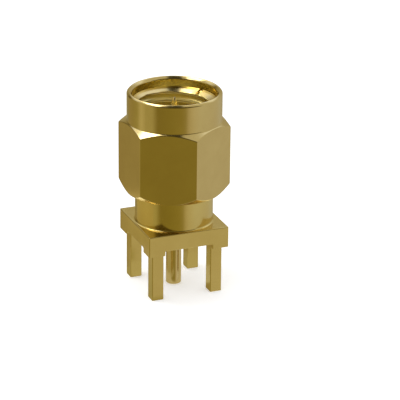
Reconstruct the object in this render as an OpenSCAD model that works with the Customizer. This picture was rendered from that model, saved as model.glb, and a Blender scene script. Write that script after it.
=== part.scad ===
// SMA plug (male), straight, with four solder legs for a circuit board.
// A loose hexagon coupling nut turns on a snap ring round the neck of a body
// that is turned and milled in one piece with its square base and its legs.
// Z = 0 is the level of the leg tips, and the connector's axis is the Z axis.

/* [Legs and tail] */
// Spacing of the four legs, centre to centre
leg_pitch = 5.08; // [4.6:0.02:5.3]
// Side of each square leg
leg_side = 1.0; // [0.7:0.05:1.1]
// Length of the legs below the pads that sit on the board
leg_length = 4.0; // [2:0.1:6]
// Chamfer round the end of each leg
leg_chamfer = 0.04; // [0.02:0.01:0.2]
// Length of the centre tail below the pads
tail_length = 3.95; // [2:0.05:3.95]
// Chamfer round the end of the tail
tail_chamfer = 0.08; // [0.05:0.01:0.3]

/* [Base] */
// Side of the square base
base_side = 6.9; // [6.8:0.1:9]
// Thickness of the base over its pads
base_thickness = 1.78; // [1.6:0.01:3]
// Depth of the two crossing slots that leave the four pads
slot_depth = 0.4; // [0.2:0.05:0.6]
// Radius on the upright edges of the base
base_corner_radius = 0.08; // [0.05:0.01:0.3]
// Edge break round the top of the base
base_edge_break = 0.05; // [0.03:0.01:0.15]

/* [Neck and sleeve] */
// Diameter of the neck that carries the nut
neck_diameter = 6.4; // [6.0:0.05:6.5]
// Length of neck that shows between the base and the nut
neck_gap = 2.62; // [1:0.02:5]
// Radius of the fillet at the foot of the neck
neck_fillet = 0.14; // [0.05:0.01:0.15]
// Diameter of the sleeve, the outer conductor that enters the mating jack
sleeve_diameter = 4.58; // [4.5:0.01:4.6]
// Wall of the sleeve round the insulator
sleeve_wall = 0.22; // [0.15:0.01:0.3]
// Length of the sleeve in front of the neck
sleeve_length = 2.35; // [2:0.05:2.6]
// Depth of the reference plane, the sleeve's end, below the front of the nut
reference_depth = 2.6; // [2.3:0.05:2.9]

/* [Coupling nut] */
// Width of the hexagon across its flats
nut_across_flats = 7.94; // [7.8:0.02:9]
// Angle of the hexagon's corners from the X axis
nut_angle = 32.0; // [0:0.1:60]
// Whole length of the nut
nut_height = 8.4; // [8.2:0.1:9]
// Diameter of the round collar at the front
collar_diameter = 7.74; // [7.5:0.02:7.8]
// Length of the round collar
collar_height = 2.4; // [2.0:0.1:3.0]
// Slope of the chamfer between the hexagon and the collar, from the flat
shoulder_slope = 33; // [20:1:45]
// Slope of the chamfer at the rear of the hexagon, from the flat
rear_slope = 45; // [30:1:50]
// Distance of the rear chamfer's inner edge inside the flats
rear_face_inset = 0.03; // [0.02:0.01:0.2]
// Edge break round the outside of the rim
rim_outer_break = 0.15; // [0.05:0.01:0.25]
// Chamfer inside the rim
rim_inner_break = 0.2; // [0.05:0.01:0.25]
// Diameter of the plain counterbore behind the rim
counterbore_diameter = 6.84; // [6.5:0.02:6.9]
// Depth of the counterbore
counterbore_depth = 0.8; // [0.4:0.05:1.0]
// Crest diameter of the 1/4-36 UNS inside thread
thread_crest_diameter = 5.6; // [5.59:0.01:5.74]
// Slope of the lead-in cone from the counterbore to the thread, from the flat
lead_in_slope = 26; // [15:1:40]
// Length of the threaded bore
thread_length = 2.78; // [2.2:0.05:2.8]

/* [Retaining ring] */
// Thickness of the snap ring
ring_thickness = 0.5; // [0.3:0.05:0.6]
// Inside diameter of the snap ring
ring_inner_diameter = 5.7; // [5.5:0.05:5.8]
// Outside diameter of the snap ring
ring_outer_diameter = 7.0; // [6.8:0.02:7.1]
// Width of the gap in the snap ring
ring_gap = 1.5; // [0.8:0.1:3]
// Direction of the gap from the X axis
ring_gap_angle = 68; // [0:1:359]
// Height of the ring above the rear end of the nut
ring_height = 1.6; // [1.2:0.1:1.8]
// Travel of the ring along its groove in the neck
ring_play = 0.2; // [0.1:0.01:0.3]

/* [Insulator and contact] */
// Step from the insulator's barrel to its rear flange
flange_step = 0.38; // [0.2:0.02:0.5]
// Thickness of the insulator's rear flange
flange_thickness = 0.6; // [0.4:0.05:0.8]
// Diameter of the solder tail
tail_diameter = 1.27; // [1.26:0.01:1.4]
// Diameter of the contact inside the insulator, for a 50 ohm line
shank_diameter = 1.24; // [1.2:0.01:1.25]
// Diameter of the mating pin
pin_diameter = 0.92; // [0.9:0.01:0.94]
// Length of the mating pin in front of the reference plane
pin_length = 2.05; // [1.6:0.05:2.2]
// Length of the cone at the tip of the mating pin
pin_cone_length = 1.05; // [0.6:0.05:1.2]
// Diameter of the flat end of the mating pin
pin_end_diameter = 0.14; // [0.1:0.01:0.3]
// Diameter of the barb at the rear of the insulator, which holds the contact
barb_diameter = 1.7; // [1.6:0.05:2.2]
// Length of the barb, from the insulator's rear face
barb_length = 0.9; // [0.5:0.1:1.5]

/* [Gasket] */
// Thickness of the silicone gasket on the shoulder round the sleeve
gasket_thickness = 0.55; // [0.3:0.05:0.6]
// Outside diameter of the gasket
gasket_diameter = 6.1; // [5.6:0.05:6.2]

/* [Clearances] */
// Radial clearance between the neck and the rear bore of the nut
nut_clearance = 0.06; // [0.03:0.01:0.1]
// Depth of the nut's groove outside the ring
nut_groove_clearance = 0.08; // [0.03:0.01:0.1]
// Depth of the neck's groove inside the ring
neck_groove_clearance = 0.12; // [0.05:0.01:0.15]
// Clearance on each side of the ring in its grooves
ring_side_clearance = 0.02; // [0.01:0.01:0.05]
// Radial clearance between the insulator, the contact and the body
insulator_clearance = 0.01; // [0.005:0.005:0.02]
// Radial clearance between the gasket and the sleeve
gasket_clearance = 0.05; // [0.02:0.01:0.1]

/* [Hidden] */
$fn = 96;

// Heights of the body, from the leg tips up
pad_z = leg_length;
slot_z = pad_z + slot_depth;
base_top_z = pad_z + base_thickness;
nut_z = base_top_z + neck_gap;
nut_top_z = nut_z + nut_height;
reference_z = nut_top_z - reference_depth;
neck_top_z = reference_z - sleeve_length;
ring_z = nut_z + ring_height;

// Radii of the body
leg_inner = leg_pitch / 2 - leg_side / 2;
leg_outer = leg_pitch / 2 + leg_side / 2;
neck_radius = neck_diameter / 2;
sleeve_radius = sleeve_diameter / 2;
sleeve_bore_radius = sleeve_radius - sleeve_wall;
neck_groove_radius = ring_inner_diameter / 2 - neck_groove_clearance;
flange_top_z = slot_z + flange_thickness;
flange_bore_radius = sleeve_bore_radius + flange_step;
neck_edge_break = 0.12;
sleeve_edge_break = 0.06;

// Sizes of the nut
nut_corner_radius = nut_across_flats / sqrt(3);
nut_flat_radius = nut_across_flats / 2;
collar_radius = collar_diameter / 2;
collar_z = nut_top_z - collar_height;
rear_face_radius = nut_flat_radius - rear_face_inset;
rear_bore_radius = neck_radius + nut_clearance;
rear_bore_break = 0.12;
nut_groove_radius = ring_outer_diameter / 2 + nut_groove_clearance;
counterbore_radius = counterbore_diameter / 2;
counterbore_z = nut_top_z - counterbore_depth;
thread_radius = thread_crest_diameter / 2;
thread_top_z = counterbore_z - (counterbore_radius - thread_radius) * tan(lead_in_slope);
thread_bottom_z = thread_top_z - thread_length;
lead_out_z = thread_bottom_z - (rear_bore_radius - thread_radius);
envelope_margin = 1;

// Sizes of the contact, the insulator and the gasket
tail_end_z = pad_z - tail_length;
tail_radius = tail_diameter / 2;
shank_radius = shank_diameter / 2;
pin_radius = pin_diameter / 2;
pin_end_z = reference_z + pin_length;
barb_radius = barb_diameter / 2;
barb_top_z = slot_z + barb_length;
barb_lead = barb_radius - shank_radius;
gasket_bore_radius = sleeve_radius + gasket_clearance;

// Margin by which a cutter passes the face that it cuts
cut = 0.5;

function arc_points(centre_x, centre_y, radius, from, to, steps = 6) =
    [for (i = [0:steps]) let (a = from + (to - from) * i / steps)
        [centre_x + radius * cos(a), centre_y + radius * sin(a)]];

// Square with rounded corners, centred on the origin
function rounded_square(side, radius) =
    let (c = side / 2 - radius)
    concat(
        arc_points(c, c, radius, 0, 90), arc_points(-c, c, radius, 90, 180),
        arc_points(-c, -c, radius, 180, 270), arc_points(c, -c, radius, 270, 360));

// Half of the comb that one milling pass leaves: base, pad and chamfered leg
function half_comb() = [
    [0, slot_z], [leg_inner, slot_z],
    [leg_inner, leg_chamfer], [leg_inner + leg_chamfer, 0],
    [leg_outer - leg_chamfer, 0], [leg_outer, leg_chamfer],
    [leg_outer, pad_z], [base_side / 2, pad_z],
    [base_side / 2, base_top_z - base_edge_break],
    [base_side / 2 - base_edge_break, base_top_z], [0, base_top_z]];

// The comb seen along Y, as deep as the base
module comb() {
    rotate([90, 0, 0])
        linear_extrude(base_side, center = true)
            polygon(concat(half_comb(), [for (i = [len(half_comb()) - 2:-1:1])
                [-half_comb()[i][0], half_comb()[i][1]]]));
}

// Base, pads and legs, left by two milling passes at right angles
module milled_base() {
    intersection() {
        comb();
        rotate(90) comb();
        linear_extrude(base_top_z) polygon(rounded_square(base_side, base_corner_radius));
    }
}

// Neck with its foot fillet and ring groove, and the sleeve in front of it
module turned_neck() {
    rotate_extrude()
        polygon(concat(
            [[0, base_top_z - slot_depth], [neck_radius + neck_fillet, base_top_z - slot_depth]],
            arc_points(neck_radius + neck_fillet, base_top_z + neck_fillet, neck_fillet, 270, 180),
            [
                [neck_radius, ring_z - ring_side_clearance],
                [neck_groove_radius, ring_z - ring_side_clearance],
                [neck_groove_radius, ring_z + ring_thickness + ring_play + ring_side_clearance],
                [neck_radius, ring_z + ring_thickness + ring_play + ring_side_clearance],
                [neck_radius, neck_top_z - neck_edge_break],
                [neck_radius - neck_edge_break, neck_top_z],
                [sleeve_radius, neck_top_z],
                [sleeve_radius, reference_z - sleeve_edge_break],
                [sleeve_radius - sleeve_edge_break, reference_z],
                [0, reference_z]]));
}

module connector_body() {
    color("goldenrod")
        difference() {
            union() {
                milled_base();
                turned_neck();
            }
            translate([0, 0, slot_z - cut])
                cylinder(h = reference_z - slot_z + 2 * cut, r = sleeve_bore_radius);
            translate([0, 0, slot_z - cut])
                cylinder(h = flange_thickness + cut, r = flange_bore_radius);
        }
}

// PTFE insulator: a flange behind, a barrel to the reference plane, and a bore for the contact
module insulator() {
    barrel_radius = sleeve_bore_radius - insulator_clearance;
    flange_radius = flange_bore_radius - insulator_clearance;
    bore_radius = shank_radius + insulator_clearance;
    recess_radius = barb_radius + insulator_clearance;
    color("white")
        rotate_extrude()
            polygon([
                [recess_radius, slot_z], [flange_radius, slot_z],
                [flange_radius, flange_top_z - insulator_clearance],
                [barrel_radius, flange_top_z - insulator_clearance],
                [barrel_radius, reference_z], [bore_radius, reference_z],
                [bore_radius, barb_top_z + insulator_clearance],
                [recess_radius, barb_top_z + insulator_clearance - barb_lead]]);
}

// Contact: solder tail, barb and shank in the insulator, and the pointed mating pin
module centre_contact() {
    color("gold")
        rotate_extrude()
            polygon([
                [0, tail_end_z], [tail_radius - tail_chamfer, tail_end_z],
                [tail_radius, tail_end_z + tail_chamfer],
                [tail_radius, slot_z], [barb_radius, slot_z],
                [barb_radius, barb_top_z - barb_lead], [shank_radius, barb_top_z],
                [shank_radius, reference_z], [pin_radius, reference_z],
                [pin_radius, pin_end_z - pin_cone_length],
                [pin_end_diameter / 2, pin_end_z], [0, pin_end_z]]);
}

// Silicone gasket that the front of the mating jack presses on
module gasket() {
    color("firebrick")
        translate([0, 0, neck_top_z])
            difference() {
                cylinder(h = gasket_thickness, d = gasket_diameter);
                translate([0, 0, -cut])
                    cylinder(h = gasket_thickness + 2 * cut, r = gasket_bore_radius);
            }
}

// Snap ring that holds the nut on the neck and lets it turn
module retaining_ring() {
    color("peru")
        translate([0, 0, ring_z])
            difference() {
                cylinder(h = ring_thickness, d = ring_outer_diameter);
                translate([0, 0, -cut])
                    cylinder(h = ring_thickness + 2 * cut, d = ring_inner_diameter);
                rotate(ring_gap_angle)
                    translate([0, -ring_gap / 2, -cut])
                        cube([ring_outer_diameter, ring_gap, ring_thickness + 2 * cut]);
            }
}

// Turned outside of the nut: rear chamfer, shoulder chamfer, collar and rim
module nut_envelope() {
    wide = nut_corner_radius + envelope_margin;
    rotate_extrude()
        polygon([
            [0, nut_z], [rear_face_radius, nut_z],
            [wide, nut_z + (wide - rear_face_radius) * tan(rear_slope)],
            [wide, collar_z - (wide - collar_radius) * tan(shoulder_slope)],
            [collar_radius, collar_z],
            [collar_radius, nut_top_z - rim_outer_break],
            [collar_radius - rim_outer_break, nut_top_z], [0, nut_top_z]]);
}

// Turned inside of the nut: rear bore, ring groove, threaded bore, lead-in cone and counterbore
module nut_bore() {
    rotate_extrude()
        polygon([
            [0, nut_z - cut], [rear_bore_radius + rear_bore_break + cut, nut_z - cut],
            [rear_bore_radius, nut_z + rear_bore_break],
            [rear_bore_radius, ring_z - ring_side_clearance],
            [nut_groove_radius, ring_z - ring_side_clearance],
            [nut_groove_radius, ring_z + ring_thickness + ring_side_clearance],
            [rear_bore_radius, ring_z + ring_thickness + ring_side_clearance],
            [rear_bore_radius, lead_out_z], [thread_radius, thread_bottom_z],
            [thread_radius, thread_top_z], [counterbore_radius, counterbore_z],
            [counterbore_radius, nut_top_z - rim_inner_break],
            [counterbore_radius + rim_inner_break + cut, nut_top_z + cut],
            [0, nut_top_z + cut]]);
}

module coupling_nut() {
    color("darkgoldenrod")
        difference() {
            intersection() {
                nut_envelope();
                rotate(nut_angle)
                    translate([0, 0, nut_z])
                        cylinder(h = nut_height, r = nut_corner_radius, $fn = 6);
            }
            nut_bore();
        }
}

connector_body();
insulator();
centre_contact();
gasket();
retaining_ring();
coupling_nut();
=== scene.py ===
"""Looks of the SMA plug: gold-plated body, coupling nut and contact, in a light tent.

Sizes are in millimetres, and settle() turns a finished piece into metres. Heights come from
the CAD frame's boxes. Body, nut and contact are rebuilt with rounded edges and the coupling
thread, each in the place of its CAD solid. Insulator, gasket and ring keep their CAD shapes.
"""
import itertools
import math

import bmesh
import bpy
from mathutils import Matrix, Vector


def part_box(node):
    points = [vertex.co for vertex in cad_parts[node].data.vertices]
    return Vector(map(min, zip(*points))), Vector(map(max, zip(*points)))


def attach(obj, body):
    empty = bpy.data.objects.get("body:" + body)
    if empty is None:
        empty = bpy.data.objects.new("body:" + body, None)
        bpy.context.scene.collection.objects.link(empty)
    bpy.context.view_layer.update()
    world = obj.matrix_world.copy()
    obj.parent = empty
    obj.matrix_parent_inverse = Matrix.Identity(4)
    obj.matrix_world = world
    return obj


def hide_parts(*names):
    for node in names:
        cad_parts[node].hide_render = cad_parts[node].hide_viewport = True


MM = 0.001

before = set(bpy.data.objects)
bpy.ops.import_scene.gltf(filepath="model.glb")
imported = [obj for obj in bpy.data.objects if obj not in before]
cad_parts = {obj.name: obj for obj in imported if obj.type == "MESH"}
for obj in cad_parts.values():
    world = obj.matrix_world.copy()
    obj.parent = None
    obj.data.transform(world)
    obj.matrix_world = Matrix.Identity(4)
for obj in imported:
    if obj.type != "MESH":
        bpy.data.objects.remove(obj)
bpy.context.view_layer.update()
scene = bpy.context.scene


# ---------------------------------------------------------------- sizes

def heights(node):
    """Lowest and highest Z of a CAD node, in millimetres."""
    low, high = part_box(node)
    return low.z / MM, high.z / MM


nut_z, nut_top_z = heights("coupling_nut")
leg_tip_z, reference_z = heights("connector_body")
tail_end_z, pin_end_z = heights("centre_contact")
slot_z, _ = heights("insulator")
ring_z, ring_top_z = heights("retaining_ring")
neck_top_z, _ = heights("gasket")

# Base and legs
BASE_SIDE = 6.9
SLOT_DEPTH = 0.4
BASE_THICKNESS = 1.78
LEG_PITCH = 5.08
LEG_SIDE = 1.0
pad_z = slot_z - SLOT_DEPTH
base_top_z = pad_z + BASE_THICKNESS
leg_inner = (LEG_PITCH - LEG_SIDE) / 2
leg_outer = (LEG_PITCH + LEG_SIDE) / 2

# Neck, sleeve and the bores for the insulator
NECK_RADIUS = 3.2
NECK_FILLET = 0.14
NECK_BREAK = 0.12
# How far the turned neck reaches into the base before the two are joined
NECK_ROOT = 0.3
NECK_GROOVE_RADIUS = 2.73
RING_PLAY = 0.2
RING_SIDE = 0.02
SLEEVE_RADIUS = 2.29
SLEEVE_WALL = 0.22
FLANGE_STEP = 0.38
FLANGE_THICKNESS = 0.6

# Coupling nut
FLATS = 7.94
NUT_ANGLE = 32.0
REAR_INSET = 0.03
REAR_SLOPE = 45
REAR_BORE_RADIUS = 3.26
REAR_BORE_BREAK = 0.12
COLLAR_RADIUS = 3.87
COLLAR_HEIGHT = 2.4
SHOULDER_SLOPE = 33
RIM_OUTER_BREAK = 0.15
RIM_INNER_BREAK = 0.2
COUNTERBORE_RADIUS = 3.42
COUNTERBORE_DEPTH = 0.8
LEAD_IN_SLOPE = 26
NUT_GROOVE_RADIUS = 3.58

# 1/4-36 UNS inside thread: its crests are at the minor radius
THREAD_PITCH = 25.4 / 36
THREAD_CREST = 2.8
THREAD_ROOT = 3.18
THREAD_LENGTH = 2.78
FLANK_RISE = math.tan(math.radians(60))
# Height of a crest's middle under the rim, towards +X
THREAD_PHASE = 1.83
# The cut in the lead-in cone where the thread starts: its place and half width, in degrees
THREAD_START = 29
THREAD_START_TURN = 2.6
THREAD_START_CUT = 0.3

# Contact
TAIL_RADIUS = 0.635
TAIL_CHAMFER = 0.08
BARB_RADIUS = 0.85
BARB_LENGTH = 0.9
SHANK_RADIUS = 0.62
PIN_RADIUS = 0.46
PIN_CONE = 1.05
PIN_END_RADIUS = 0.07
# The pin's end is rounded in two steps: share of its radius, and depths
PIN_END_SHARE = 0.6
PIN_END_DEPTHS = (0.01, 0.05)

# Fineness of the meshes, and how their edges are treated
COLUMNS = 240
CONTACT_COLUMNS = 96
ROWS_PER_PITCH = 16
EDGE_ROUND = 0.07
# Largest share of a profile's line that the rounding of its end takes
SOFTEN_MOST = 0.45
# Smallest angle of an edge that stays crisp, and largest one between faces that are one, in degrees
SHARP_ANGLE = 35
FLAT_ANGLE = 0.4
# Degrees to each side of a hexagon corner that its rounding takes, and what it takes off
CORNER_TURN = 0.5
CORNER_CUT = 0.012
# Distance by which a cutter passes the part
CUT_PAST = 1.0
# How far the nut's inside golds, rougher and painted lighter for light in the hollow, reach past the
# thread's top and stop short of the rim
THREAD_LIT_FINISH_OVER = 0.03
WALL_LIT_FINISH_UNDER = 0.04


# ---------------------------------------------------------------- mesh helpers

def soften(points, width=EDGE_ROUND):
    """A profile with each inner corner of an open line rounded over up to width each way."""
    soft = [points[0]]
    for before, corner, after in zip(points, points[1:], points[2:]):
        ends = []
        for other in (before, after):
            span = math.dist(corner, other)
            share = min(width, SOFTEN_MOST * span) / span
            ends.append([c + (o - c) * share for c, o in zip(corner, other)])
        for t in (0, 1 / 3, 2 / 3, 1):
            soft.append(tuple((1 - t) ** 2 * a + 2 * t * (1 - t) * c + t * t * b
                              for a, c, b in zip(ends[0], corner, ends[1])))
    return soft + [points[-1]]


def add_object(name, mesh):
    """A new object of the scene with this mesh."""
    piece = bpy.data.objects.new(name, mesh)
    scene.collection.objects.link(piece)
    return piece


def mesh_from(name, verts, faces):
    """A mesh with outward normals, in millimetres."""
    mesh = bpy.data.meshes.new(name)
    mesh.from_pydata(verts, [], faces)
    edit = bmesh.new()
    edit.from_mesh(mesh)
    bmesh.ops.remove_doubles(edit, verts=edit.verts, dist=1e-3)
    loose = [edge for edge in edit.edges if not edge.link_faces]
    bmesh.ops.delete(edit, geom=loose, context="EDGES")
    bmesh.ops.recalc_face_normals(edit, faces=edit.faces)
    edit.to_mesh(mesh)
    edit.free()
    return mesh


def turned(name, profile, columns=COLUMNS):
    """A solid of revolution: a closed profile of (radius, height) points about Z."""
    verts, faces = [], []
    count = len(profile)
    for j in range(columns):
        a = 2 * math.pi * j / columns
        verts += [(r * math.cos(a), r * math.sin(a), z) for r, z in profile]
    for j in range(columns):
        k = (j + 1) % columns
        for i in range(count):
            n = (i + 1) % count
            faces.append((j * count + i, k * count + i, k * count + n, j * count + n))
    return add_object(name, mesh_from(name, verts, faces))


def combine(piece, tool, operation):
    """Exact boolean of piece with tool, which is then deleted."""
    modifier = piece.modifiers.new("combine", "BOOLEAN")
    modifier.object = tool
    modifier.operation = operation
    modifier.solver = "EXACT"
    apply_modifiers(piece)
    bpy.data.objects.remove(tool)
    tidy_faces(piece)
    return piece


def apply_modifiers(piece):
    """Gives a piece the mesh that its modifiers make."""
    graph = bpy.context.evaluated_depsgraph_get()
    result = bpy.data.meshes.new_from_object(piece.evaluated_get(graph))
    old = piece.data
    piece.modifiers.clear()
    piece.data = result
    bpy.data.meshes.remove(old)


def tidy_faces(piece):
    """Joins coplanar faces and removes the points that a boolean leaves on straight edges."""
    edit = bmesh.new()
    edit.from_mesh(piece.data)
    bmesh.ops.remove_doubles(edit, verts=edit.verts, dist=1e-4)
    bmesh.ops.dissolve_limit(edit, angle_limit=math.radians(FLAT_ANGLE), verts=edit.verts, edges=edit.edges)
    bmesh.ops.recalc_face_normals(edit, faces=edit.faces)
    edit.to_mesh(piece.data)
    edit.free()


def crisp_edges(piece, longest=math.inf):
    """Marks every sharp edge, or weights it for rounding where it is longer than longest."""
    edit = bmesh.new()
    edit.from_mesh(piece.data)
    weight = edit.edges.layers.float.new("bevel_weight_edge")
    for edge in edit.edges:
        sharp = edge.calc_face_angle(0) > math.radians(SHARP_ANGLE)
        straight = sharp and edge.calc_length() > longest
        edge[weight] = int(straight)
        edge.smooth = straight or not sharp
    edit.to_mesh(piece.data)
    edit.free()


def round_edges(piece, width=EDGE_ROUND):
    """Rounds the long straight edges, and leaves the other sharp edges crisp."""
    crisp_edges(piece, 4 * width)
    bevel = piece.modifiers.new("edges", "BEVEL")
    bevel.limit_method = "WEIGHT"
    bevel.width = width
    bevel.segments = 3
    bevel.miter_outer = "MITER_ARC"
    shade(piece)


def shade(piece):
    """Smooth shading that keeps the flat faces flat."""
    for face in piece.data.polygons:
        face.use_smooth = True
    weighted = piece.modifiers.new("normals", "WEIGHTED_NORMAL")
    weighted.mode = "FACE_AREA"
    weighted.weight = 100
    weighted.keep_sharp = True
    apply_modifiers(piece)


def settle(piece, body, node, slot, *materials):
    """Puts a finished piece on its body, in metres, in place of its CAD node."""
    piece.data.transform(Matrix.Scale(MM, 4))
    for material in materials:
        piece.data.materials.append(material)
    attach(piece, body)
    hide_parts(node)


def arc(centre_x, centre_y, radius, start, end, steps=6):
    """Points along an arc, angles in degrees."""
    return [(centre_x + radius * math.cos(math.radians(start + (end - start) * i / steps)),
             centre_y + radius * math.sin(math.radians(start + (end - start) * i / steps)))
            for i in range(steps + 1)]


# ---------------------------------------------------------------- connector body

def make_blank():
    """Base, pads and legs: two crossing milling passes of one comb profile, as filled cells."""
    half = BASE_SIDE / 2
    cuts = [-half, -leg_outer, -leg_inner, leg_inner, leg_outer, half]
    levels = [leg_tip_z, pad_z, slot_z, base_top_z]

    def filled(i, j, k):
        if min(i, j, k) < 0 or max(i, j) > 4 or k > 2:
            return False
        if k == 0:
            return i in (1, 3) and j in (1, 3)
        return k == 2 or (i != 2 and j != 2)

    verts, faces = [], []
    for i, j, k in itertools.product(range(5), range(5), range(3)):
        for axis, step in itertools.product(range(3), (0, 1)):
            beyond = [i, j, k]
            beyond[axis] += 2 * step - 1
            if not filled(i, j, k) or filled(*beyond):
                continue
            corner = [i, j, k]
            corner[axis] += step
            for u, v in ((0, 0), (1, 0), (1, 1), (0, 1)):
                spot = list(corner)
                spot[(axis + 1) % 3] += u
                spot[(axis + 2) % 3] += v
                verts.append((cuts[spot[0]], cuts[spot[1]], levels[spot[2]]))
            faces.append(tuple(range(len(verts) - 4, len(verts))))
    piece = add_object("body_shell", mesh_from("body_shell", verts, faces))
    tidy_faces(piece)
    return piece


def neck_profile():
    """Neck with its foot fillet and ring groove, and the sleeve, as (radius, height)."""
    root = base_top_z - NECK_ROOT
    groove_low = ring_z - RING_SIDE
    groove_high = ring_top_z + RING_PLAY + RING_SIDE
    foot = arc(NECK_RADIUS + NECK_FILLET, base_top_z + NECK_FILLET, NECK_FILLET, 270, 180)
    return [(0, root), (NECK_RADIUS + NECK_FILLET, root)] + foot + [
        (NECK_RADIUS, groove_low), (NECK_GROOVE_RADIUS, groove_low),
        (NECK_GROOVE_RADIUS, groove_high), (NECK_RADIUS, groove_high),
        (NECK_RADIUS, neck_top_z - NECK_BREAK), (NECK_RADIUS - NECK_BREAK, neck_top_z),
        (SLEEVE_RADIUS, neck_top_z)] + arc(
            SLEEVE_RADIUS - EDGE_ROUND, reference_z - EDGE_ROUND, EDGE_ROUND, 0, 90, 3) + [
        (0, reference_z)]


def bore_profile():
    """Cutter for the insulator's bore and its rear flange, longer than the body."""
    bore = SLEEVE_RADIUS - SLEEVE_WALL
    flange_top = slot_z + FLANGE_THICKNESS
    low, high = slot_z - CUT_PAST, reference_z + CUT_PAST
    return [(0, low), (bore + FLANGE_STEP, low), (bore + FLANGE_STEP, flange_top),
            (bore, flange_top), (bore, high), (0, high)]


def make_body():
    """Base with its legs, neck and sleeve, bored for the insulator."""
    piece = make_blank()
    combine(piece, turned("neck", neck_profile()), "UNION")
    combine(piece, turned("bore", bore_profile()), "DIFFERENCE")
    round_edges(piece)
    return piece


# ---------------------------------------------------------------- coupling nut

def thread_radius(angle, z):
    """Radius of the right-hand inside thread at an angle in degrees and a height."""
    crest_z = nut_top_z - THREAD_PHASE + THREAD_PITCH * angle / 360
    offset = abs((z - crest_z + THREAD_PITCH / 2) % THREAD_PITCH - THREAD_PITCH / 2)
    rise = (offset - THREAD_PITCH / 8) * FLANK_RISE
    return min(max(THREAD_CREST, THREAD_CREST + rise), THREAD_ROOT)


def make_nut():
    """Hexagon nut as one closed skin of COLUMNS columns, threaded inside."""
    flat_radius = FLATS / 2
    rear_radius = flat_radius - REAR_INSET
    collar_z = nut_top_z - COLLAR_HEIGHT
    rear_tan = math.tan(math.radians(REAR_SLOPE))
    shoulder_tan = math.tan(math.radians(SHOULDER_SLOPE))
    lead_in_tan = math.tan(math.radians(LEAD_IN_SLOPE))
    counterbore_z = nut_top_z - COUNTERBORE_DEPTH
    thread_top_z = counterbore_z - (COUNTERBORE_RADIUS - THREAD_CREST) * lead_in_tan
    thread_bottom_z = thread_top_z - THREAD_LENGTH
    lead_out_z = thread_bottom_z - (REAR_BORE_RADIUS - THREAD_CREST)
    groove_low, groove_high = ring_z - RING_SIDE, ring_top_z + RING_SIDE

    def outside(angle):
        """Rear face, both hexagon chamfers, collar, rim and counterbore."""
        off_corner = abs((angle - NUT_ANGLE + 30) % 60 - 30)
        hexagon = flat_radius / math.cos(math.radians(30 - off_corner))
        if off_corner < CORNER_TURN / 2:
            hexagon -= CORNER_CUT
        return soften([
            (REAR_BORE_RADIUS, nut_z + 2 * REAR_BORE_BREAK),
            (REAR_BORE_RADIUS, nut_z + REAR_BORE_BREAK),
            (REAR_BORE_RADIUS + REAR_BORE_BREAK, nut_z), (rear_radius, nut_z),
            (hexagon, nut_z + (hexagon - rear_radius) * rear_tan),
            (hexagon, collar_z - (hexagon - COLLAR_RADIUS) * shoulder_tan),
            (COLLAR_RADIUS, collar_z), (COLLAR_RADIUS, nut_top_z - RIM_OUTER_BREAK),
            (COLLAR_RADIUS - RIM_OUTER_BREAK, nut_top_z),
            (COUNTERBORE_RADIUS + RIM_INNER_BREAK, nut_top_z),
            (COUNTERBORE_RADIUS, nut_top_z - RIM_INNER_BREAK),
            (COUNTERBORE_RADIUS, counterbore_z + EDGE_ROUND)])

    def bore(angle, z):
        """Radius of the threaded bore without its thread, but with the cut where that starts."""
        if z > thread_top_z:
            off_start = abs((angle - THREAD_START + 180) % 360 - 180)
            cut = THREAD_START_CUT if off_start < THREAD_START_TURN else 0
            return min(THREAD_CREST + (z - thread_top_z) / lead_in_tan + cut, COUNTERBORE_RADIUS)
        return THREAD_CREST + max(0, thread_bottom_z - z)

    def threaded(angle):
        """Rows that follow the helix, between the counterbore and the relief behind the thread."""
        turn = THREAD_PITCH * (angle - NUT_ANGLE) / 360
        rows = []
        count = math.ceil((counterbore_z - lead_out_z) / THREAD_PITCH + 1) * ROWS_PER_PITCH
        crest_z = nut_top_z - THREAD_PHASE + THREAD_PITCH * NUT_ANGLE / 360
        first_z = crest_z + math.ceil((counterbore_z - crest_z) / THREAD_PITCH) * THREAD_PITCH
        for i in range(count + 1):
            z = first_z + turn - i * THREAD_PITCH / ROWS_PER_PITCH
            z = min(max(z, lead_out_z), counterbore_z)
            rows.append((max(bore(angle, z), thread_radius(angle, z)), z))
        return rows

    rear = [(REAR_BORE_RADIUS, groove_high), (NUT_GROOVE_RADIUS, groove_high),
            (NUT_GROOVE_RADIUS, groove_low), (REAR_BORE_RADIUS, groove_low)]

    angles = [NUT_ANGLE + 360 * j / COLUMNS for j in range(COLUMNS + 1)]
    angles += [NUT_ANGLE + 60 * k + CORNER_TURN for k in range(6)]
    angles += [NUT_ANGLE + 60 * k - CORNER_TURN for k in range(1, 7)]
    angles.sort()
    verts, faces = [], []
    for angle in angles:
        profile = outside(angle) + threaded(angle) + rear
        a = math.radians(angle)
        verts += [(r * math.cos(a), r * math.sin(a), z) for r, z in profile]
    count = len(profile)
    for j in range(len(angles) - 1):
        here, there = j * count, (j + 1) * count
        for i in range(count):
            n = (i + 1) % count
            faces.append((here + i, there + i, there + n, here + n))
    piece = add_object("nut_shell", mesh_from("nut_shell", verts, faces))
    crisp_edges(piece)
    shade(piece)
    # The thread and the counterbore wall get rougher golds, painted brighter than the outside to stand in
    # for light in the nut's hollow
    for face in piece.data.polygons:
        if math.hypot(face.center.x, face.center.y) < COUNTERBORE_RADIUS + 0.01:
            threads = lead_out_z < face.center.z < thread_top_z + THREAD_LIT_FINISH_OVER
            wall = counterbore_z < face.center.z < nut_top_z - RIM_INNER_BREAK - WALL_LIT_FINISH_UNDER
            face.material_index = 1 if threads else 2 if wall else 0
    return piece


# ---------------------------------------------------------------- contact

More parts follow.
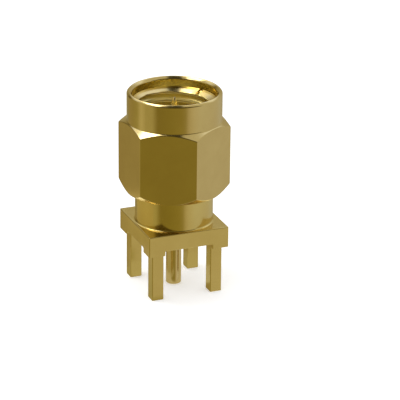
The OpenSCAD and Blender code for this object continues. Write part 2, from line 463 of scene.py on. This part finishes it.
def make_contact():
    """Solder tail, barbed shank and pointed mating pin, with the pin's faces in a second finish, a paler
    gold that paints in the pin's pale reflections.
    """
    barb_top = slot_z + BARB_LENGTH
    tip = [(0, pin_end_z), (PIN_END_RADIUS * PIN_END_SHARE, pin_end_z - PIN_END_DEPTHS[0]),
           (PIN_END_RADIUS, pin_end_z - PIN_END_DEPTHS[1])]
    foot = arc(TAIL_RADIUS - TAIL_CHAMFER, tail_end_z + TAIL_CHAMFER, TAIL_CHAMFER, 270, 360, 3)
    profile = [(0, tail_end_z)] + foot + [
        (TAIL_RADIUS, slot_z),
        (BARB_RADIUS, slot_z), (BARB_RADIUS, barb_top - (BARB_RADIUS - SHANK_RADIUS)),
        (SHANK_RADIUS, barb_top), (SHANK_RADIUS, reference_z), (PIN_RADIUS, reference_z),
        (PIN_RADIUS, pin_end_z - PIN_CONE)] + tip[::-1]
    piece = turned("contact_shell", profile, CONTACT_COLUMNS)
    crisp_edges(piece)
    shade(piece)
    for face in piece.data.polygons:
        face.material_index = 1 if face.center.z > reference_z else 0
    return piece


# ---------------------------------------------------------------- materials

class Nodes:
    """Short calls for building the node tree of a material or a world, from empty."""

    def __init__(self, owner):
        owner.use_nodes = True
        self.tree = owner.node_tree
        self.tree.nodes.clear()

    def add(self, kind, inputs=None, **settings):
        node = self.tree.nodes.new(kind)
        for key, value in settings.items():
            setattr(node, key, value)
        for key, value in (inputs or {}).items():
            if isinstance(value, bpy.types.NodeSocket):
                self.tree.links.new(value, node.inputs[key])
            else:
                node.inputs[key].default_value = value
        return node

    def math(self, operation, a, b=0.0, c=0.0):
        return self.add("ShaderNodeMath", {0: a, 1: b, 2: c}, operation=operation).outputs[0]

    def noise(self, vector, scale, detail=2.0, roughness=0.5):
        return self.add("ShaderNodeTexNoise", {"Vector": vector, "Scale": scale, "Detail": detail,
                                               "Roughness": roughness}).outputs["Fac"]

    def ramp(self, value, stops):
        node = self.add("ShaderNodeValToRGB", {"Fac": value})
        stops = [(p, c if len(c) == 4 else (*c, 1)) for p, c in stops]
        while len(node.color_ramp.elements) < len(stops):
            node.color_ramp.elements.new(0.5)
        for element, (position, colour) in zip(node.color_ramp.elements, stops):
            element.position = position
            element.color = colour
        return node.outputs["Color"]

    def spread(self, value, low, high, to_low, to_high, smooth=False):
        node = self.add("ShaderNodeMapRange", {"Value": value, "From Min": low, "From Max": high,
                                               "To Min": to_low, "To Max": to_high})
        if smooth:
            node.interpolation_type = "SMOOTHSTEP"
        return node.outputs["Result"]

    def rise(self, value, limits, smooth=False):
        """0 up to the lower limit and 1 from the upper one."""
        return self.spread(value, *limits, 0.0, 1.0, smooth)

    def fall(self, value, limits, smooth=False):
        """1 up to the lower limit and 0 from the upper one."""
        return self.spread(value, *limits, 1.0, 0.0, smooth)

    def mix(self, share, first, second):
        return self.add("ShaderNodeMix", {0: share, 6: first, 7: second}, data_type="RGBA").outputs[2]

    def dot(self, vector, other):
        return self.add("ShaderNodeVectorMath", {0: vector, 1: tuple(other)},
                        operation="DOT_PRODUCT").outputs["Value"]

    def window(self, value, low, high, soft):
        """1 between low and high and 0 outside, with soft ends."""
        return self.times(self.rise(value, (low - soft, low + soft), smooth=True),
                          self.fall(value, (high - soft, high + soft), smooth=True))

    def times(self, *values):
        """Product of two or more values."""
        product = values[0]
        for value in values[1:]:
            product = self.math("MULTIPLY", product, value)
        return product

    def paint(self, share, under, colour):
        """A plain colour laid over what is under it, by its share."""
        return self.mix(share, under, (*colour, 1))

    def close(self, shader, output="ShaderNodeOutputMaterial"):
        """Links the shader to the output."""
        self.tree.links.new(shader.outputs[0], self.add(output).inputs["Surface"])


def start_material(name):
    """A new material with its nodes and its surface shader."""
    material = bpy.data.materials.new(name)
    nodes = Nodes(material)
    shader = nodes.add("ShaderNodeBsdfPrincipled")
    nodes.close(shader)
    return material, nodes, shader


# Scales of the textures, per metre, and how much each moves the gloss and the height
CLOUD_SCALE = 420.0
GRAIN_SCALE = 9000.0
TURNED_SCALE = 16000.0
MILLED_SCALE = 14000.0
MILLED_STRETCH = (0.12, 0.12, 1.0)
MARKS_GLOSS = 0.06
CLOUD_GLOSS = 0.05
GRAIN_HEIGHT = 0.15
# Half of the height over which milled marks give way to turned ones, in metres
FINISH_CHANGE = 5e-5


def gold(name, light, dark, rough, turning, turned_above=None):
    """Gold plating over machined brass: faint tool marks, cloudy tint and fingered gloss.

    Below turned_above, a height in metres, the marks are those of milling.
    """
    material, nodes, shader = start_material(name)
    link = nodes.tree.links.new
    place = nodes.add("ShaderNodeTexCoord").outputs["Object"]
    cloud = nodes.noise(place, CLOUD_SCALE, 4.0, 0.6)
    grain = nodes.noise(place, GRAIN_SCALE, 2.0)
    link(nodes.ramp(cloud, [(0.3, dark), (0.7, light)]), shader.inputs["Base Color"])
    shader.inputs["Metallic"].default_value = 1.0

    # Turning marks run round the axis: they vary with height and with radius only
    axis = nodes.add("ShaderNodeSeparateXYZ", {0: place})
    flat = nodes.add("ShaderNodeVectorMath", {0: place, 1: (1.0, 1.0, 0.0)}, operation="MULTIPLY")
    radius = nodes.add("ShaderNodeVectorMath", {0: flat.outputs[0]}, operation="LENGTH").outputs["Value"]
    path = nodes.math("ADD", axis.outputs["Z"], radius)
    along = nodes.add("ShaderNodeCombineXYZ", {"X": path})
    marks = nodes.noise(along.outputs[0], TURNED_SCALE, 3.0, 0.7)
    if turned_above is not None:
        side = nodes.rise(axis.outputs["Z"], (turned_above - FINISH_CHANGE, turned_above + FINISH_CHANGE))
        milled_path = nodes.add("ShaderNodeVectorMath", {0: place, 1: MILLED_STRETCH},
                                operation="MULTIPLY").outputs[0]
        milled = nodes.noise(milled_path, MILLED_SCALE, 2.0, 0.6)
        marks = nodes.add("ShaderNodeMix", {0: side, 2: milled, 3: marks}, data_type="FLOAT").outputs[0]
    gloss = nodes.math("MULTIPLY_ADD", marks, MARKS_GLOSS, nodes.math("MULTIPLY", cloud, CLOUD_GLOSS))
    middle_gloss = (MARKS_GLOSS + CLOUD_GLOSS) / 2
    link(nodes.math("ADD", gloss, rough - middle_gloss), shader.inputs["Roughness"])
    height = nodes.math("MULTIPLY_ADD", marks, turning, nodes.math("MULTIPLY", grain, GRAIN_HEIGHT))
    bump = nodes.add("ShaderNodeBump", {"Height": height, "Strength": 0.12, "Distance": 4e-6})
    link(bump.outputs[0], shader.inputs["Normal"])
    return material


def plain(name, light, dark, rough, scale, bump_distance):
    """A non-metal: PTFE or silicone, with a cloudy colour and a fine bump."""
    material, nodes, shader = start_material(name)
    link = nodes.tree.links.new
    place = nodes.add("ShaderNodeTexCoord").outputs["Object"]
    cloud = nodes.noise(place, scale, 4.0, 0.6)
    link(nodes.ramp(cloud, [(0.3, dark), (0.7, light)]), shader.inputs["Base Color"])
    link(nodes.spread(cloud, 0.3, 0.7, rough - 0.05, rough + 0.05), shader.inputs["Roughness"])
    fine = nodes.noise(place, scale * 12, 2.0)
    bump = nodes.add("ShaderNodeBump", {"Height": fine, "Strength": 0.3, "Distance": bump_distance})
    link(bump.outputs[0], shader.inputs["Normal"])
    return material


def dress(piece, material):
    """Gives a CAD solid one material."""
    piece.data.materials.clear()
    piece.data.materials.append(material)


body_gold = gold("body_gold", (0.755, 0.605, 0.222), (0.695, 0.545, 0.19), 0.17, 1.0, base_top_z * MM)
nut_gold = gold("nut_gold", (0.74, 0.59, 0.25), (0.68, 0.53, 0.215), 0.14, 1.0)
# Rougher golds inside the nut, painted brighter to stand in for light in its hollow
rough_lit_thread_gold = gold("rough_lit_thread_gold", (0.85, 0.71, 0.26), (0.79, 0.65, 0.22), 0.36, 1.0)
rough_lit_wall_gold = gold("rough_lit_wall_gold", (0.85, 0.68, 0.14), (0.79, 0.63, 0.12), 0.27, 0.2)
contact_gold = gold("contact_gold", (0.79, 0.63, 0.3), (0.72, 0.57, 0.26), 0.16, 1.4)
# The pin's gold is painted paler: a painted reflection of the pale sides it shows
pin_gold_painted_pale = gold("pin_gold_painted_pale", (0.93, 0.84, 0.62), (0.87, 0.78, 0.56), 0.2, 0.2)
ring_bronze = gold("ring_bronze", (0.6, 0.38, 0.2), (0.5, 0.3, 0.15), 0.3, 1.0)
ptfe = plain("ptfe", (0.9, 0.89, 0.86), (0.84, 0.83, 0.79), 0.5, 900.0, 4e-6)
silicone = plain("silicone", (0.42, 0.05, 0.03), (0.34, 0.035, 0.022), 0.55, 700.0, 6e-6)

settle(make_body(), "body", "connector_body", "body_gold", body_gold)
settle(make_nut(), "nut", "coupling_nut", "nut_gold", nut_gold, rough_lit_thread_gold, rough_lit_wall_gold)
settle(make_contact(), "body", "centre_contact", "contact_gold", contact_gold, pin_gold_painted_pale)
dress(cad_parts["insulator"], ptfe)
dress(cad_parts["gasket"], silicone)
dress(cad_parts["retaining_ring"], ring_bronze)


# ---------------------------------------------------------------- stage

# Painted reflections for the metal, laid out as a light tent. Its wall by compass direction, in degrees
# from +X
REFLECTED_WALL = [
    (0, (0.56, 0.53, 0.46)), (25, (0.55, 0.53, 0.45)), (48, (0.45, 0.4, 0.26)),
    (84, (0.43, 0.38, 0.22)), (98, (0.31, 0.27, 0.14)), (112, (0.36, 0.29, 0.12)),
    (130, (0.35, 0.29, 0.115)), (148, (0.38, 0.33, 0.13)), (162, (0.58, 0.52, 0.31)),
    (176, (0.45, 0.4, 0.2)), (194, (0.45, 0.4, 0.2)), (208, (0.255, 0.205, 0.055)),
    (240, (0.28, 0.23, 0.06)), (266, (0.31, 0.255, 0.075)), (276, (0.34, 0.285, 0.115)),
    (282, (0.48, 0.42, 0.27)), (292, (0.57, 0.52, 0.4)), (315, (0.59, 0.57, 0.5)),
    (360, (0.56, 0.53, 0.46))]

# Colours of its other areas of painted reflection, painted shade among them, some brighter than white
REFLECTED_ROOF = (0.6, 0.57, 0.48)
REFLECTED_ROOF_BACK = (0.98, 1.03, 1.25)
REFLECTED_BELOW = (1.35, 1.25, 0.85)
PAINTED_GAP_SHADE = (0.06, 0.055, 0.035)
PAINTED_SHADE = (0.1, 0.08, 0.03)
# Painted highlights, shaped as a softbox with its edges
PAINTED_HIGHLIGHT = (3.2, 3.1, 3.4)
PAINTED_HIGHLIGHT_EDGE = (1.15, 1.12, 1.05)
PAINTED_HIGHLIGHT_BACK = (1.5, 1.45, 1.3)

# Where those areas fade in or out. A direction is a unit vector: height is its part upwards,
# near its part towards the camera and across its part to the camera's right
ROOF_HEIGHT = (0.35, 0.65)
ROOF_BACK_NEAR = (-0.38, -0.2)
BELOW_HEIGHT = (-0.68, -0.6)
BELOW_NEAR = (-0.4, -0.2)
LENS_ACROSS = (-0.79, -0.73)
GAP_HEIGHT = (0.8, 0.9)
GAP_LEFT = (-0.165, -0.115)
GAP_RIGHT = (0.13, 0.18)
BOX_HEIGHT = (0.55, 0.65)
BOX_LEFT = (-0.65, -0.55)
BOX_RIGHT = (-0.28, -0.22)
BOX_BACK = (-0.565, -0.525)
BOX_FRONT = (0.3, 0.5)
# Slants of the sides of those areas: how much of the one direction goes with the other
GAP_LEFT_SLANT = 0.2
GAP_RIGHT_SLANT = -0.16
BOX_RIGHT_SLANT = 0.4
BOX_BACK_SLANT = 0.38
# Windows: lower limit, upper limit and half of the width of each soft end
LEFT_BACK_TURN = (106 / 360, 124 / 360, 3 / 360)
LEFT_BACK_HEIGHT = (-0.1, 0.4, 0.06)
LEFT_BACK_SHARE = 0.8
LENS_NEAR = (0.36, 1.2, 0.06)
LENS_HEIGHT = (0.1, 0.93, 0.05)
EDGE_NEAR = (-0.85, -0.4, 0.1)
BACK_EDGE_ACROSS = (-0.42, -0.1, 0.04)
BACK_EDGE_NEAR = (-0.64, -0.4, 0.04)

# Painted reflection of the floor in the metal: colours by share of its reach, and limits in metres
PAINTED_FLOOR_REFLECTION = [(0.2, (0.43, 0.385, 0.2)), (0.36, (0.49, 0.42, 0.25)),
              (0.5, (0.43, 0.355, 0.15)), (0.9, (0.53, 0.44, 0.21))]
PAINTED_REFLECTION_UNDER = (0.56, 0.52, 0.38)
GLOW_REACH = (0.0225, 0.024)
GLOW_FRONT = (-0.0042, -0.003)
GLOW_REAR = (-0.0022, -0.0018)
GLOW_REAR_SLANT = 0.4
UNDER_REACH = (0.0054, 0.006)
UNDER_FRONT = (-0.0016, -0.001)
INNER_LEFT = (-0.003, -0.0026)
INNER_REAR = (0.0018, 0.0024)

# What the camera sees of the floor on top of its own light, and what matt pieces get of the sky
FLOOR_SEEN = 0.36
SKY_ON_MATT = 0.86

# Radii of the stage's pieces, and how far the floor and its painted reflection lie under the legs, in
# metres
REFLECTION_SPHERE_RADIUS = 0.7
FLOOR_RADIUS = 1.6
GLOW_RADIUS = 0.03
FLOOR_DEPTH = 2e-6
GLOW_DEPTH = 1e-6

# The camera: angles in degrees, lengths in millimetres
CAMERA_AZIMUTH = -22.14
CAMERA_ELEVATION = 21.94
CAMERA_ROLL = 0.63
CAMERA_DISTANCE = 180.6
CAMERA_LENS = 199.3
CAMERA_AIM_HEIGHT = 9.0
CAMERA_SIDE_STEP = 2.115
CAMERA_DOWN_STEP = 1.561


def direction(azimuth, elevation):
    """Unit vector from the object towards a compass direction, by the camera's angles."""
    a, e = math.radians(azimuth), math.radians(elevation)
    return Vector((math.sin(a) * math.cos(e), -math.cos(a) * math.cos(e), math.sin(e)))


def stage_piece(name, shape, **sizes):
    """A piece of the stage, made by one bmesh operator."""
    edit = bmesh.new()
    shape(edit, **sizes)
    mesh = bpy.data.meshes.new(name)
    edit.to_mesh(mesh)
    edit.free()
    return add_object(name, mesh)


def show_in_metal_only(piece):
    """Hides a piece from the camera and from matt surfaces, and keeps it from casting a shadow."""
    piece.visible_camera = False
    piece.visible_diffuse = False
    piece.visible_shadow = False


def make_painted_reflections():
    """A glowing sphere of painted reflections, with painted highlights and painted shade, which shows only
    in the metal.
    """
    tent = stage_piece("painted_reflection_tent", bmesh.ops.create_uvsphere, u_segments=64, v_segments=32,
                       radius=REFLECTION_SPHERE_RADIUS)
    tent.data.flip_normals()
    show_in_metal_only(tent)
    material = bpy.data.materials.new("painted_reflection_cloth")
    nodes = Nodes(material)
    place = nodes.add("ShaderNodeTexCoord").outputs["Object"]
    unit = nodes.add("ShaderNodeVectorMath", {0: place}, operation="NORMALIZE").outputs[0]
    axis = nodes.add("ShaderNodeSeparateXYZ", {0: unit})
    turn = nodes.math("ARCTAN2", axis.outputs["Y"], axis.outputs["X"])
    turn = nodes.math("WRAP", turn, 2 * math.pi, 0.0)
    turn = nodes.math("DIVIDE", turn, 2 * math.pi)
    across = nodes.dot(unit, direction(CAMERA_AZIMUTH + 90, 0))
    near = nodes.dot(unit, direction(CAMERA_AZIMUTH, 0))
    height = axis.outputs["Z"]

    # Painted reflection of wall, roof and what shows from below
    wall = nodes.ramp(turn, [(a / 360, c) for a, c in REFLECTED_WALL])
    roof = nodes.mix(nodes.rise(near, ROOF_BACK_NEAR), (*REFLECTED_ROOF_BACK, 1), (*REFLECTED_ROOF, 1))
    painted_colour = nodes.mix(nodes.rise(height, ROOF_HEIGHT, smooth=True), wall, roof)
    below = nodes.times(nodes.fall(height, BELOW_HEIGHT), nodes.fall(near, BELOW_NEAR))
    painted_colour = nodes.paint(below, painted_colour, REFLECTED_BELOW)

    # Painted shade in the reflections: to the left of the back, round the lens, and the gap beside the
    # painted highlight
    left_back_shade = nodes.times(nodes.window(turn, *LEFT_BACK_TURN), nodes.window(height, *LEFT_BACK_HEIGHT))
    painted_colour = nodes.paint(nodes.math("MULTIPLY", left_back_shade, LEFT_BACK_SHARE), painted_colour, PAINTED_SHADE)
    lens_side_shade = nodes.times(nodes.window(near, *LENS_NEAR), nodes.window(height, *LENS_HEIGHT),
                            nodes.rise(across, LENS_ACROSS))
    painted_colour = nodes.paint(lens_side_shade, painted_colour, PAINTED_SHADE)
    gap_shade = nodes.times(
        nodes.rise(height, GAP_HEIGHT, smooth=True),
        nodes.rise(nodes.math("MULTIPLY_ADD", near, GAP_LEFT_SLANT, across), GAP_LEFT),
        nodes.fall(nodes.math("MULTIPLY_ADD", near, GAP_RIGHT_SLANT, across), GAP_RIGHT))
    painted_colour = nodes.paint(gap_shade, painted_colour, PAINTED_GAP_SHADE)

    # The painted highlight over the left shoulder, shaped as a softbox, with its dimmer edges
    upper = nodes.rise(height, BOX_HEIGHT, smooth=True)
    sides = nodes.times(
        upper, nodes.rise(across, BOX_LEFT),
        nodes.fall(nodes.math("MULTIPLY_ADD", near, BOX_RIGHT_SLANT, across), BOX_RIGHT))
    painted_colour = nodes.paint(nodes.times(sides, nodes.window(near, *EDGE_NEAR)), painted_colour, PAINTED_HIGHLIGHT_EDGE)
    back_edge = nodes.times(upper, nodes.window(across, *BACK_EDGE_ACROSS),
                            nodes.window(near, *BACK_EDGE_NEAR))
    painted_colour = nodes.paint(back_edge, painted_colour, PAINTED_HIGHLIGHT_BACK)
    back = nodes.rise(nodes.math("MULTIPLY_ADD", across, BOX_BACK_SLANT, near), BOX_BACK)
    painted_colour = nodes.paint(nodes.times(sides, back, nodes.fall(near, BOX_FRONT)), painted_colour, PAINTED_HIGHLIGHT)

    nodes.close(nodes.add("ShaderNodeEmission", {"Color": painted_colour, "Strength": 1.0}))
    tent.data.materials.append(material)


def make_painted_floor_reflection():
    """Painted reflection of paler floor under and beside the base, which shows only in the metal."""
    patch = stage_piece("painted_floor_reflection", bmesh.ops.create_circle, cap_ends=True, segments=64,
                        radius=GLOW_RADIUS)
    patch.location.z = -GLOW_DEPTH
    show_in_metal_only(patch)
    material = bpy.data.materials.new("painted_floor_reflection")
    nodes = Nodes(material)
    place = nodes.add("ShaderNodeTexCoord").outputs["Object"]
    axis = nodes.add("ShaderNodeSeparateXYZ", {0: place})
    x, y = axis.outputs["X"], axis.outputs["Y"]
    far = nodes.add("ShaderNodeVectorMath", {0: place}, operation="LENGTH").outputs["Value"]
    painted_colour = nodes.ramp(nodes.rise(far, (0.0, GLOW_REACH[1])), PAINTED_FLOOR_REFLECTION)

    beside = nodes.times(
        nodes.rise(y, GLOW_FRONT, smooth=True), nodes.fall(far, GLOW_REACH, smooth=True),
        nodes.fall(nodes.math("MULTIPLY_ADD", y, GLOW_REAR_SLANT, x), GLOW_REAR, smooth=True))
    under = nodes.times(nodes.fall(far, UNDER_REACH), nodes.rise(y, UNDER_FRONT))
    inner = nodes.times(under, nodes.rise(x, INNER_LEFT), nodes.fall(y, INNER_REAR))
    painted_colour = nodes.paint(inner, painted_colour, PAINTED_REFLECTION_UNDER)

    glow = nodes.add("ShaderNodeEmission", {"Color": painted_colour, "Strength": 1.0})
    clear = nodes.add("ShaderNodeBsdfTransparent")
    mask = nodes.math("MAXIMUM", beside, under)
    nodes.close(nodes.add("ShaderNodeMixShader", {0: mask, 1: clear.outputs[0], 2: glow.outputs[0]}))
    patch.data.materials.append(material)


def make_floor():
    """White paper, which the metal doesn't show."""
    floor = stage_piece("floor", bmesh.ops.create_circle, cap_ends=True, segments=96,
                        radius=FLOOR_RADIUS)
    floor.location.z = -FLOOR_DEPTH
    floor.visible_glossy = False
    material, nodes, shader = start_material("floor_paper")
    link = nodes.tree.links.new
    place = nodes.add("ShaderNodeTexCoord").outputs["Object"]
    cloud = nodes.noise(place, 60.0, 3.0)
    link(nodes.ramp(cloud, [(0.3, (0.93, 0.93, 0.93)), (0.7, (0.95, 0.95, 0.95))]),
         shader.inputs["Base Color"])
    shader.inputs["Roughness"].default_value = 0.9
    shader.inputs["Specular IOR Level"].default_value = 0.0
    seen = nodes.add("ShaderNodeLightPath").outputs["Is Camera Ray"]
    link(nodes.math("MULTIPLY", seen, FLOOR_SEEN), shader.inputs["Emission Strength"])
    shader.inputs["Emission Color"].default_value = (1, 1, 1, 1)
    floor.data.materials.append(material)


def add_lamp(name, azimuth, elevation, distance, size, radiance):
    """A square soft lamp, facing the object."""
    lamp = bpy.data.lights.new(name, "AREA")
    lamp.shape = "SQUARE"
    lamp.size = size
    lamp.energy = radiance * math.pi * size * size
    item = bpy.data.objects.new(name, lamp)
    scene.collection.objects.link(item)
    towards = direction(azimuth, elevation)
    item.location = towards * distance + Vector((0, 0, nut_z * MM))
    item.rotation_mode = "QUATERNION"
    item.rotation_quaternion = towards.to_track_quat("Z", "Y")


def make_world():
    """White where it is seen, directly or in a surface, and dimmer as a light."""
    world = bpy.data.worlds.new("studio")
    scene.world = world
    nodes = Nodes(world)
    path = nodes.add("ShaderNodeLightPath")
    seen = nodes.math("MAXIMUM", path.outputs["Is Camera Ray"], path.outputs["Is Glossy Ray"])
    seen = nodes.math("MAXIMUM", seen, path.outputs["Is Transmission Ray"])
    strength = nodes.spread(seen, 0.0, 1.0, SKY_ON_MATT, 1.0)
    sky = nodes.add("ShaderNodeBackground", {"Color": (1, 1, 1, 1), "Strength": strength})
    nodes.close(sky, "ShaderNodeOutputWorld")


def make_camera():
    """The photograph's camera. It aims at the axis, then steps aside and down."""
    data = bpy.data.cameras.new("camera")
    data.sensor_width = 36.0
    data.lens = CAMERA_LENS
    data.clip_start = 0.01
    camera = bpy.data.objects.new("camera", data)
    scene.collection.objects.link(camera)
    back = direction(CAMERA_AZIMUTH, CAMERA_ELEVATION)
    level = back.to_track_quat("Z", "Y").to_matrix()
    turn = level @ Matrix.Rotation(math.radians(CAMERA_ROLL), 3, "Z")
    right, up = turn.col[0], turn.col[1]
    place = Vector((0, 0, CAMERA_AIM_HEIGHT)) + back * CAMERA_DISTANCE
    camera.location = (place + right * CAMERA_SIDE_STEP - up * CAMERA_DOWN_STEP) * MM
    camera.rotation_mode = "QUATERNION"
    camera.rotation_quaternion = turn.to_quaternion()
    scene.camera = camera


make_painted_reflections()
make_painted_floor_reflection()
make_floor()
add_lamp("key", azimuth=-128, elevation=61, distance=0.3, size=0.11, radiance=3.5)
make_world()
make_camera()

scene.view_settings.view_transform = "Standard"
